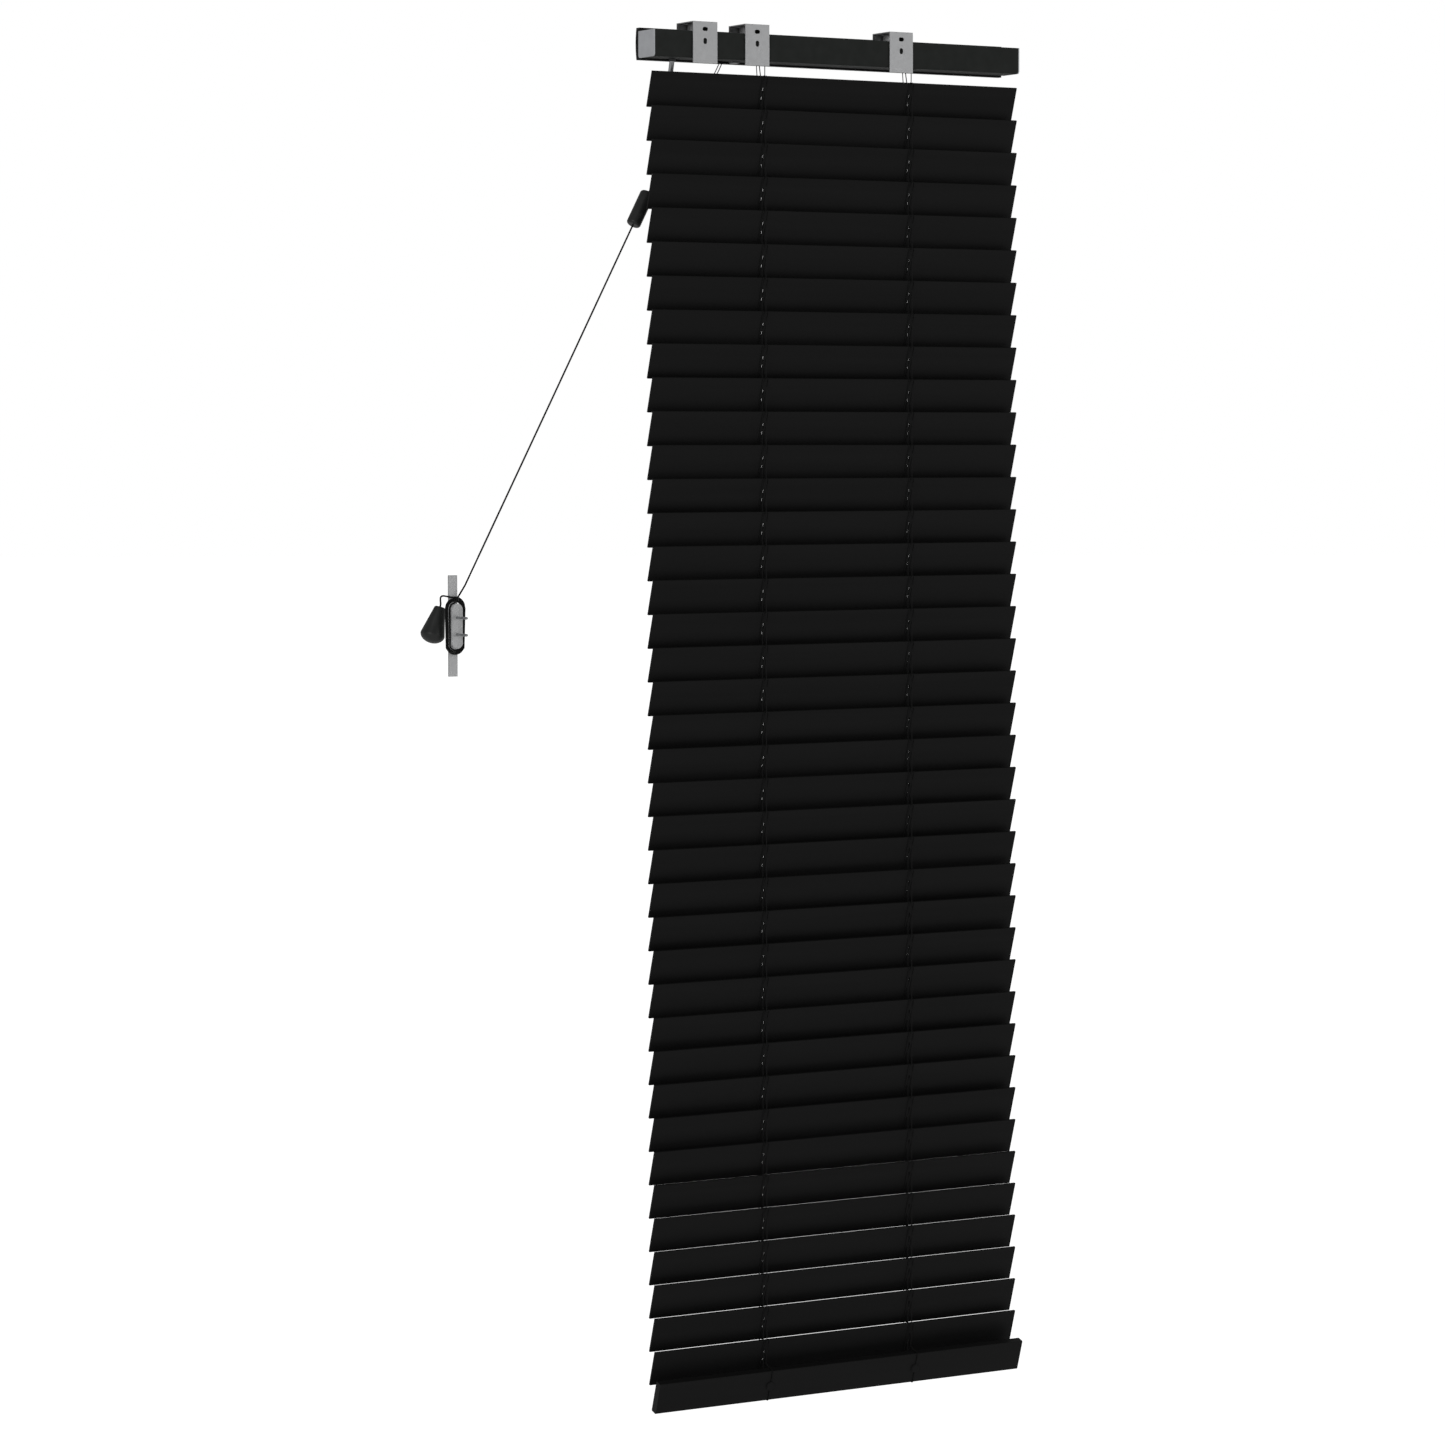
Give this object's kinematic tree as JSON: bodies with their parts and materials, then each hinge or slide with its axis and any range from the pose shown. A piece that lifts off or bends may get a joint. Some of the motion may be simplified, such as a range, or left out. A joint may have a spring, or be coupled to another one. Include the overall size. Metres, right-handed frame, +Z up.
{
  "type": "venetian blind",
  "caption": "Slatted window blind hung from a boxed headrail on wall brackets; slats turn together by a wand, and a cord with a tassel ties off on a wall cleat.",
  "frame": {"origin": "on the wall plane, midway between the upper screw slots of the two outer wall brackets", "axes": "+X along the slats towards the control side, +Y into the wall, +Z up; the room side is -Y"},
  "size_m": [0.9408, 0.0953, 1.9068],
  "materials": {
    "black_wood": null,
    "black_steel": "semi-gloss black",
    "grey_plastic": "satin grey",
    "zinc_steel": "plain sheet steel",
    "rod_steel": "drawn steel",
    "white_plastic": "satin",
    "dark_plastic": "satin",
    "black_cord": "braided cord",
    "black_gloss": "moulded, satin to gloss",
    "clear_plastic": "translucent",
    "wand_black": "satin black"
  },
  "bodies": {
    "mounted_parts": {"headrail": "black_steel", "valance": "black_wood", "headrail_end_caps": "grey_plastic", "wall_brackets": "zinc_steel", "drum_cradles": "white_plastic", "tilter_housing": "dark_plastic", "cord_lock": "zinc_steel", "lift_cords": "black_cord", "cord_connector": "black_gloss", "pull_cord": "black_cord", "tassel": "black_gloss", "cord_cleat": "clear_plastic", "cleat_screws": "rod_steel"},
    "bottom_rail": {"bottom_rail": "black_wood"},
    "slat_01": {"slat_01": "black_wood"},
    "slat_02": {"slat_02": "black_wood"},
    "slat_03": {"slat_03": "black_wood"},
    "slat_04": {"slat_04": "black_wood"},
    "slat_05": {"slat_05": "black_wood"},
    "slat_06": {"slat_06": "black_wood"},
    "slat_07": {"slat_07": "black_wood"},
    "slat_08": {"slat_08": "black_wood"},
    "slat_09": {"slat_09": "black_wood"},
    "slat_10": {"slat_10": "black_wood"},
    "slat_11": {"slat_11": "black_wood"},
    "slat_12": {"slat_12": "black_wood"},
    "slat_13": {"slat_13": "black_wood"},
    "slat_14": {"slat_14": "black_wood"},
    "slat_15": {"slat_15": "black_wood"},
    "slat_16": {"slat_16": "black_wood"},
    "slat_17": {"slat_17": "black_wood"},
    "slat_18": {"slat_18": "black_wood"},
    "slat_19": {"slat_19": "black_wood"},
    "slat_20": {"slat_20": "black_wood"},
    "slat_21": {"slat_21": "black_wood"},
    "slat_22": {"slat_22": "black_wood"},
    "slat_23": {"slat_23": "black_wood"},
    "slat_24": {"slat_24": "black_wood"},
    "slat_25": {"slat_25": "black_wood"},
    "slat_26": {"slat_26": "black_wood"},
    "slat_27": {"slat_27": "black_wood"},
    "slat_28": {"slat_28": "black_wood"},
    "slat_29": {"slat_29": "black_wood"},
    "slat_30": {"slat_30": "black_wood"},
    "slat_31": {"slat_31": "black_wood"},
    "slat_32": {"slat_32": "black_wood"},
    "slat_33": {"slat_33": "black_wood"},
    "slat_34": {"slat_34": "black_wood"},
    "slat_35": {"slat_35": "black_wood"},
    "slat_36": {"slat_36": "black_wood"},
    "slat_37": {"slat_37": "black_wood"},
    "slat_38": {"slat_38": "black_wood"},
    "slat_39": {"slat_39": "black_wood"},
    "wall_side_ladders": {"ladder_cords_wall_side": "black_cord"},
    "room_side_ladders": {"ladder_cords_room_side": "black_cord"},
    "tilt_shaft": {"tilt_rod": "rod_steel", "ladder_drums_and_worm_wheel": "white_plastic"},
    "worm": {"tilter_worm": "rod_steel"},
    "wand": {"tilt_wand": "wand_black"},
    "lock_roller": {"cord_lock_roller": "rod_steel"}
  },
  "joints": [
    {"name": "tilt", "type": "hinge", "parent": "mounted_parts", "child": "bottom_rail", "pos_m": [0, -0.0165, -1.86954], "axis": [1, 0, 0], "range_deg": [-144.4, 0]},
    {"name": "slat_01_tilt", "type": "hinge", "parent": "mounted_parts", "child": "slat_01", "pos_m": [0, -0.0165, -0.083], "axis": [1, 0, 0], "range_deg": [-144.4, 0]},
    {"name": "slat_02_tilt", "type": "hinge", "parent": "mounted_parts", "child": "slat_02", "pos_m": [0, -0.0165, -0.12913], "axis": [1, 0, 0], "range_deg": [-144.4, 0]},
    {"name": "slat_03_tilt", "type": "hinge", "parent": "mounted_parts", "child": "slat_03", "pos_m": [0, -0.0165, -0.17526], "axis": [1, 0, 0], "range_deg": [-144.4, 0]},
    {"name": "slat_04_tilt", "type": "hinge", "parent": "mounted_parts", "child": "slat_04", "pos_m": [0, -0.0165, -0.22139], "axis": [1, 0, 0], "range_deg": [-144.4, 0]},
    {"name": "slat_05_tilt", "type": "hinge", "parent": "mounted_parts", "child": "slat_05", "pos_m": [0, -0.0165, -0.26752], "axis": [1, 0, 0], "range_deg": [-144.4, 0]},
    {"name": "slat_06_tilt", "type": "hinge", "parent": "mounted_parts", "child": "slat_06", "pos_m": [0, -0.0165, -0.31365], "axis": [1, 0, 0], "range_deg": [-144.4, 0]},
    {"name": "slat_07_tilt", "type": "hinge", "parent": "mounted_parts", "child": "slat_07", "pos_m": [0, -0.0165, -0.35978], "axis": [1, 0, 0], "range_deg": [-144.4, 0]},
    {"name": "slat_08_tilt", "type": "hinge", "parent": "mounted_parts", "child": "slat_08", "pos_m": [0, -0.0165, -0.40591], "axis": [1, 0, 0], "range_deg": [-144.4, 0]},
    {"name": "slat_09_tilt", "type": "hinge", "parent": "mounted_parts", "child": "slat_09", "pos_m": [0, -0.0165, -0.45204], "axis": [1, 0, 0], "range_deg": [-144.4, 0]},
    {"name": "slat_10_tilt", "type": "hinge", "parent": "mounted_parts", "child": "slat_10", "pos_m": [0, -0.0165, -0.49817], "axis": [1, 0, 0], "range_deg": [-144.4, 0]},
    {"name": "slat_11_tilt", "type": "hinge", "parent": "mounted_parts", "child": "slat_11", "pos_m": [0, -0.0165, -0.5443], "axis": [1, 0, 0], "range_deg": [-144.4, 0]},
    {"name": "slat_12_tilt", "type": "hinge", "parent": "mounted_parts", "child": "slat_12", "pos_m": [0, -0.0165, -0.59043], "axis": [1, 0, 0], "range_deg": [-144.4, 0]},
    {"name": "slat_13_tilt", "type": "hinge", "parent": "mounted_parts", "child": "slat_13", "pos_m": [0, -0.0165, -0.63656], "axis": [1, 0, 0], "range_deg": [-144.4, 0]},
    {"name": "slat_14_tilt", "type": "hinge", "parent": "mounted_parts", "child": "slat_14", "pos_m": [0, -0.0165, -0.68269], "axis": [1, 0, 0], "range_deg": [-144.4, 0]},
    {"name": "slat_15_tilt", "type": "hinge", "parent": "mounted_parts", "child": "slat_15", "pos_m": [0, -0.0165, -0.72882], "axis": [1, 0, 0], "range_deg": [-144.4, 0]},
    {"name": "slat_16_tilt", "type": "hinge", "parent": "mounted_parts", "child": "slat_16", "pos_m": [0, -0.0165, -0.77495], "axis": [1, 0, 0], "range_deg": [-144.4, 0]},
    {"name": "slat_17_tilt", "type": "hinge", "parent": "mounted_parts", "child": "slat_17", "pos_m": [0, -0.0165, -0.82108], "axis": [1, 0, 0], "range_deg": [-144.4, 0]},
    {"name": "slat_18_tilt", "type": "hinge", "parent": "mounted_parts", "child": "slat_18", "pos_m": [0, -0.0165, -0.86721], "axis": [1, 0, 0], "range_deg": [-144.4, 0]},
    {"name": "slat_19_tilt", "type": "hinge", "parent": "mounted_parts", "child": "slat_19", "pos_m": [0, -0.0165, -0.91334], "axis": [1, 0, 0], "range_deg": [-144.4, 0]},
    {"name": "slat_20_tilt", "type": "hinge", "parent": "mounted_parts", "child": "slat_20", "pos_m": [0, -0.0165, -0.95947], "axis": [1, 0, 0], "range_deg": [-144.4, 0]},
    {"name": "slat_21_tilt", "type": "hinge", "parent": "mounted_parts", "child": "slat_21", "pos_m": [0, -0.0165, -1.0056], "axis": [1, 0, 0], "range_deg": [-144.4, 0]},
    {"name": "slat_22_tilt", "type": "hinge", "parent": "mounted_parts", "child": "slat_22", "pos_m": [0, -0.0165, -1.05173], "axis": [1, 0, 0], "range_deg": [-144.4, 0]},
    {"name": "slat_23_tilt", "type": "hinge", "parent": "mounted_parts", "child": "slat_23", "pos_m": [0, -0.0165, -1.09786], "axis": [1, 0, 0], "range_deg": [-144.4, 0]},
    {"name": "slat_24_tilt", "type": "hinge", "parent": "mounted_parts", "child": "slat_24", "pos_m": [0, -0.0165, -1.14399], "axis": [1, 0, 0], "range_deg": [-144.4, 0]},
    {"name": "slat_25_tilt", "type": "hinge", "parent": "mounted_parts", "child": "slat_25", "pos_m": [0, -0.0165, -1.19012], "axis": [1, 0, 0], "range_deg": [-144.4, 0]},
    {"name": "slat_26_tilt", "type": "hinge", "parent": "mounted_parts", "child": "slat_26", "pos_m": [0, -0.0165, -1.23625], "axis": [1, 0, 0], "range_deg": [-144.4, 0]},
    {"name": "slat_27_tilt", "type": "hinge", "parent": "mounted_parts", "child": "slat_27", "pos_m": [0, -0.0165, -1.28238], "axis": [1, 0, 0], "range_deg": [-144.4, 0]},
    {"name": "slat_28_tilt", "type": "hinge", "parent": "mounted_parts", "child": "slat_28", "pos_m": [0, -0.0165, -1.32851], "axis": [1, 0, 0], "range_deg": [-144.4, 0]},
    {"name": "slat_29_tilt", "type": "hinge", "parent": "mounted_parts", "child": "slat_29", "pos_m": [0, -0.0165, -1.37464], "axis": [1, 0, 0], "range_deg": [-144.4, 0]},
    {"name": "slat_30_tilt", "type": "hinge", "parent": "mounted_parts", "child": "slat_30", "pos_m": [0, -0.0165, -1.42077], "axis": [1, 0, 0], "range_deg": [-144.4, 0]},
    {"name": "slat_31_tilt", "type": "hinge", "parent": "mounted_parts", "child": "slat_31", "pos_m": [0, -0.0165, -1.4669], "axis": [1, 0, 0], "range_deg": [-144.4, 0]},
    {"name": "slat_32_tilt", "type": "hinge", "parent": "mounted_parts", "child": "slat_32", "pos_m": [0, -0.0165, -1.51303], "axis": [1, 0, 0], "range_deg": [-144.4, 0]},
    {"name": "slat_33_tilt", "type": "hinge", "parent": "mounted_parts", "child": "slat_33", "pos_m": [0, -0.0165, -1.55916], "axis": [1, 0, 0], "range_deg": [-144.4, 0]},
    {"name": "slat_34_tilt", "type": "hinge", "parent": "mounted_parts", "child": "slat_34", "pos_m": [0, -0.0165, -1.60529], "axis": [1, 0, 0], "range_deg": [-144.4, 0]},
    {"name": "slat_35_tilt", "type": "hinge", "parent": "mounted_parts", "child": "slat_35", "pos_m": [0, -0.0165, -1.65142], "axis": [1, 0, 0], "range_deg": [-144.4, 0]},
    {"name": "slat_36_tilt", "type": "hinge", "parent": "mounted_parts", "child": "slat_36", "pos_m": [0, -0.0165, -1.69755], "axis": [1, 0, 0], "range_deg": [-144.4, 0]},
    {"name": "slat_37_tilt", "type": "hinge", "parent": "mounted_parts", "child": "slat_37", "pos_m": [0, -0.0165, -1.74368], "axis": [1, 0, 0], "range_deg": [-144.4, 0]},
    {"name": "slat_38_tilt", "type": "hinge", "parent": "mounted_parts", "child": "slat_38", "pos_m": [0, -0.0165, -1.78981], "axis": [1, 0, 0], "range_deg": [-144.4, 0]},
    {"name": "slat_39_tilt", "type": "hinge", "parent": "mounted_parts", "child": "slat_39", "pos_m": [0, -0.0165, -1.83594], "axis": [1, 0, 0], "range_deg": [-144.4, 0]},
    {"name": "wall_side_ladders_sway", "type": "hinge", "parent": "slat_01", "child": "wall_side_ladders", "pos_m": [0, -0.00886, -0.0592], "axis": [1, 0, 0], "range_deg": [0, 144.4]},
    {"name": "room_side_ladders_sway", "type": "hinge", "parent": "slat_01", "child": "room_side_ladders", "pos_m": [0, -0.02414, -0.1068], "axis": [1, 0, 0], "range_deg": [0, 144.4]},
    {"name": "tilt_shaft_turn", "type": "hinge", "parent": "mounted_parts", "child": "tilt_shaft", "pos_m": [0, -0.0211, -0.0207], "axis": [1, 0, 0], "range_deg": [-227.8, 0]},
    {"name": "worm_turn", "type": "hinge", "parent": "mounted_parts", "child": "worm", "pos_m": [0.19, -0.03076, -0.01811], "axis": [0, 0.2588, 0.9659], "range_deg": [-3182.7, 0]},
    {"name": "wand_turn", "type": "hinge", "parent": "mounted_parts", "child": "wand", "pos_m": [0.19, -0.04681, -0.078], "axis": [0, 0, 1], "range_deg": [-3182.7, 0]},
    {"name": "lock_roller_slide", "type": "slide", "parent": "mounted_parts", "child": "lock_roller", "axis": [0.6018, 0, 0.7986], "range_m": [0, 0.005]}
  ],
  "couplings": [
    {"joint": "slat_01_tilt", "follows": "tilt", "ratio": 1},
    {"joint": "slat_02_tilt", "follows": "tilt", "ratio": 1},
    {"joint": "slat_03_tilt", "follows": "tilt", "ratio": 1},
    {"joint": "slat_04_tilt", "follows": "tilt", "ratio": 1},
    {"joint": "slat_05_tilt", "follows": "tilt", "ratio": 1},
    {"joint": "slat_06_tilt", "follows": "tilt", "ratio": 1},
    {"joint": "slat_07_tilt", "follows": "tilt", "ratio": 1},
    {"joint": "slat_08_tilt", "follows": "tilt", "ratio": 1},
    {"joint": "slat_09_tilt", "follows": "tilt", "ratio": 1},
    {"joint": "slat_10_tilt", "follows": "tilt", "ratio": 1},
    {"joint": "slat_11_tilt", "follows": "tilt", "ratio": 1},
    {"joint": "slat_12_tilt", "follows": "tilt", "ratio": 1},
    {"joint": "slat_13_tilt", "follows": "tilt", "ratio": 1},
    {"joint": "slat_14_tilt", "follows": "tilt", "ratio": 1},
    {"joint": "slat_15_tilt", "follows": "tilt", "ratio": 1},
    {"joint": "slat_16_tilt", "follows": "tilt", "ratio": 1},
    {"joint": "slat_17_tilt", "follows": "tilt", "ratio": 1},
    {"joint": "slat_18_tilt", "follows": "tilt", "ratio": 1},
    {"joint": "slat_19_tilt", "follows": "tilt", "ratio": 1},
    {"joint": "slat_20_tilt", "follows": "tilt", "ratio": 1},
    {"joint": "slat_21_tilt", "follows": "tilt", "ratio": 1},
    {"joint": "slat_22_tilt", "follows": "tilt", "ratio": 1},
    {"joint": "slat_23_tilt", "follows": "tilt", "ratio": 1},
    {"joint": "slat_24_tilt", "follows": "tilt", "ratio": 1},
    {"joint": "slat_25_tilt", "follows": "tilt", "ratio": 1},
    {"joint": "slat_26_tilt", "follows": "tilt", "ratio": 1},
    {"joint": "slat_27_tilt", "follows": "tilt", "ratio": 1},
    {"joint": "slat_28_tilt", "follows": "tilt", "ratio": 1},
    {"joint": "slat_29_tilt", "follows": "tilt", "ratio": 1},
    {"joint": "slat_30_tilt", "follows": "tilt", "ratio": 1},
    {"joint": "slat_31_tilt", "follows": "tilt", "ratio": 1},
    {"joint": "slat_32_tilt", "follows": "tilt", "ratio": 1},
    {"joint": "slat_33_tilt", "follows": "tilt", "ratio": 1},
    {"joint": "slat_34_tilt", "follows": "tilt", "ratio": 1},
    {"joint": "slat_35_tilt", "follows": "tilt", "ratio": 1},
    {"joint": "slat_36_tilt", "follows": "tilt", "ratio": 1},
    {"joint": "slat_37_tilt", "follows": "tilt", "ratio": 1},
    {"joint": "slat_38_tilt", "follows": "tilt", "ratio": 1},
    {"joint": "slat_39_tilt", "follows": "tilt", "ratio": 1},
    {"joint": "wall_side_ladders_sway", "follows": "tilt", "ratio": -1},
    {"joint": "room_side_ladders_sway", "follows": "tilt", "ratio": -1},
    {"joint": "tilt_shaft_turn", "follows": "tilt", "ratio": 1.5741},
    {"joint": "worm_turn", "follows": "tilt", "ratio": 22.037},
    {"joint": "wand_turn", "follows": "tilt", "ratio": 22.037}
  ]
}
